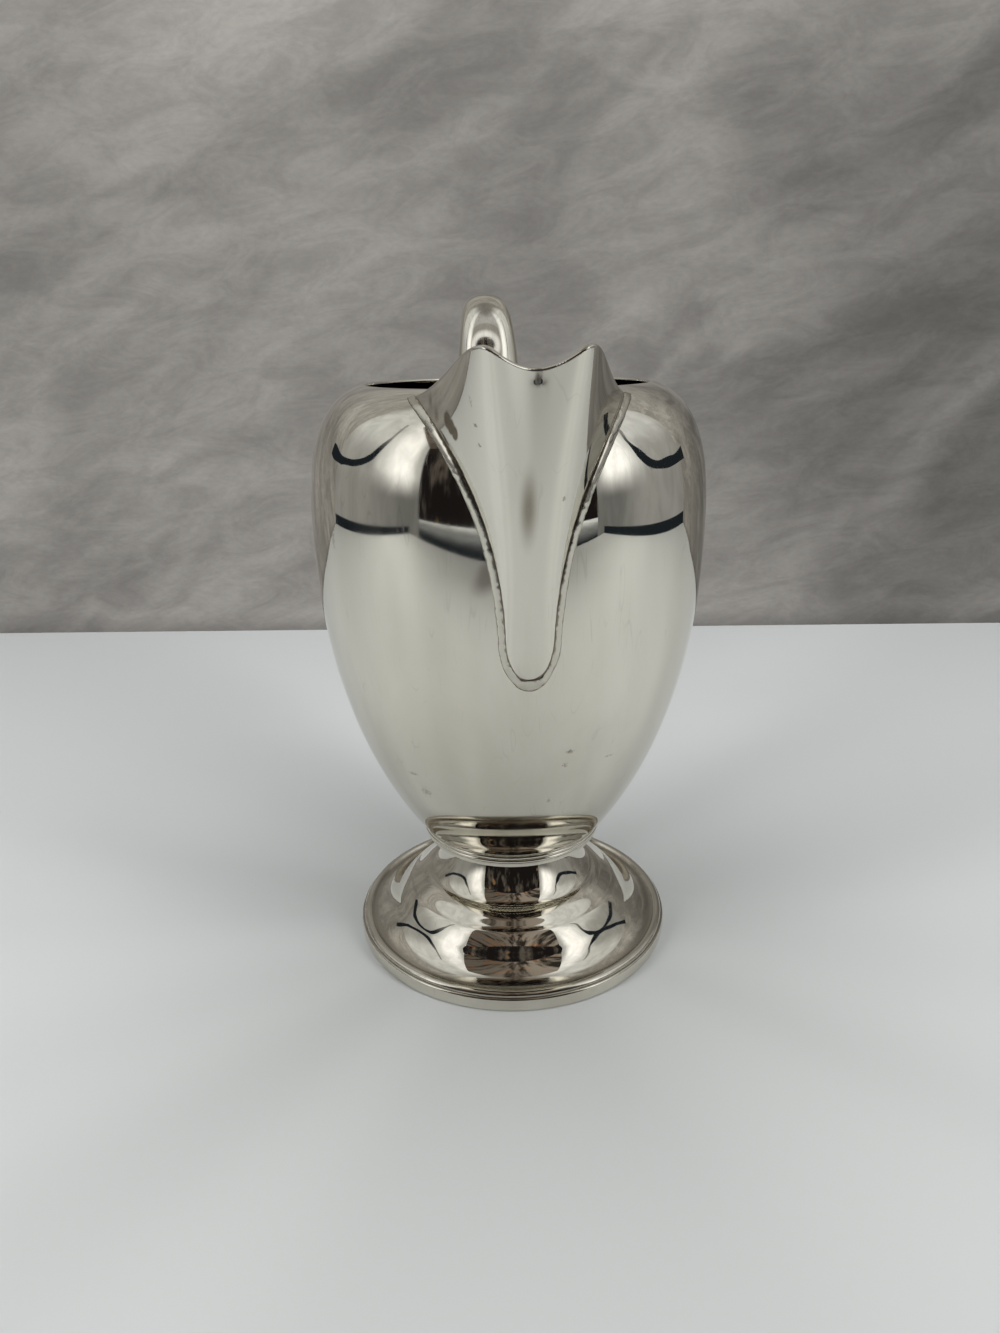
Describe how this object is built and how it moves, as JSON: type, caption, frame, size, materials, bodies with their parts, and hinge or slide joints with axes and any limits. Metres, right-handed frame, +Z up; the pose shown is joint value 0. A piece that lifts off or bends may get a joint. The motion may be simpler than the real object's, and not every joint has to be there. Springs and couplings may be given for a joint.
{
  "type": "footed cream jug",
  "caption": "Footed cream jug with an egg-shaped bowl, a V-shaped soldered spout, a stepped pedestal foot and a high hollow loop handle, in mirror silver plate.",
  "frame": {"origin": "centre of the standing ring, on the plane that the jug stands on", "axes": "+Z up along the bowl's axis, +X towards the spout, -X towards the handle"},
  "size_m": [0.1228, 0.0758, 0.1341],
  "materials": {
    "silver_bowl": "mirror-polished silver plate with fine hairline scratches",
    "silver_foot": "mirror-polished silver plate, faintly tarnished in the creases",
    "silver_handle": "mirror-polished silver plate",
    "solder": "plated solder bead, slightly duller and darker than the sheet"
  },
  "bodies": {
    "root": {"base_ring": "silver_foot", "foot": "silver_foot", "collar": "silver_foot", "foot_solder": "solder", "bowl": "silver_bowl", "spout": "silver_bowl", "spout_solder": "solder", "handle_left": "silver_handle", "handle_right": "silver_handle", "upper_joint_solder": "solder", "lower_joint_solder": "solder"}
  },
  "joints": []
}
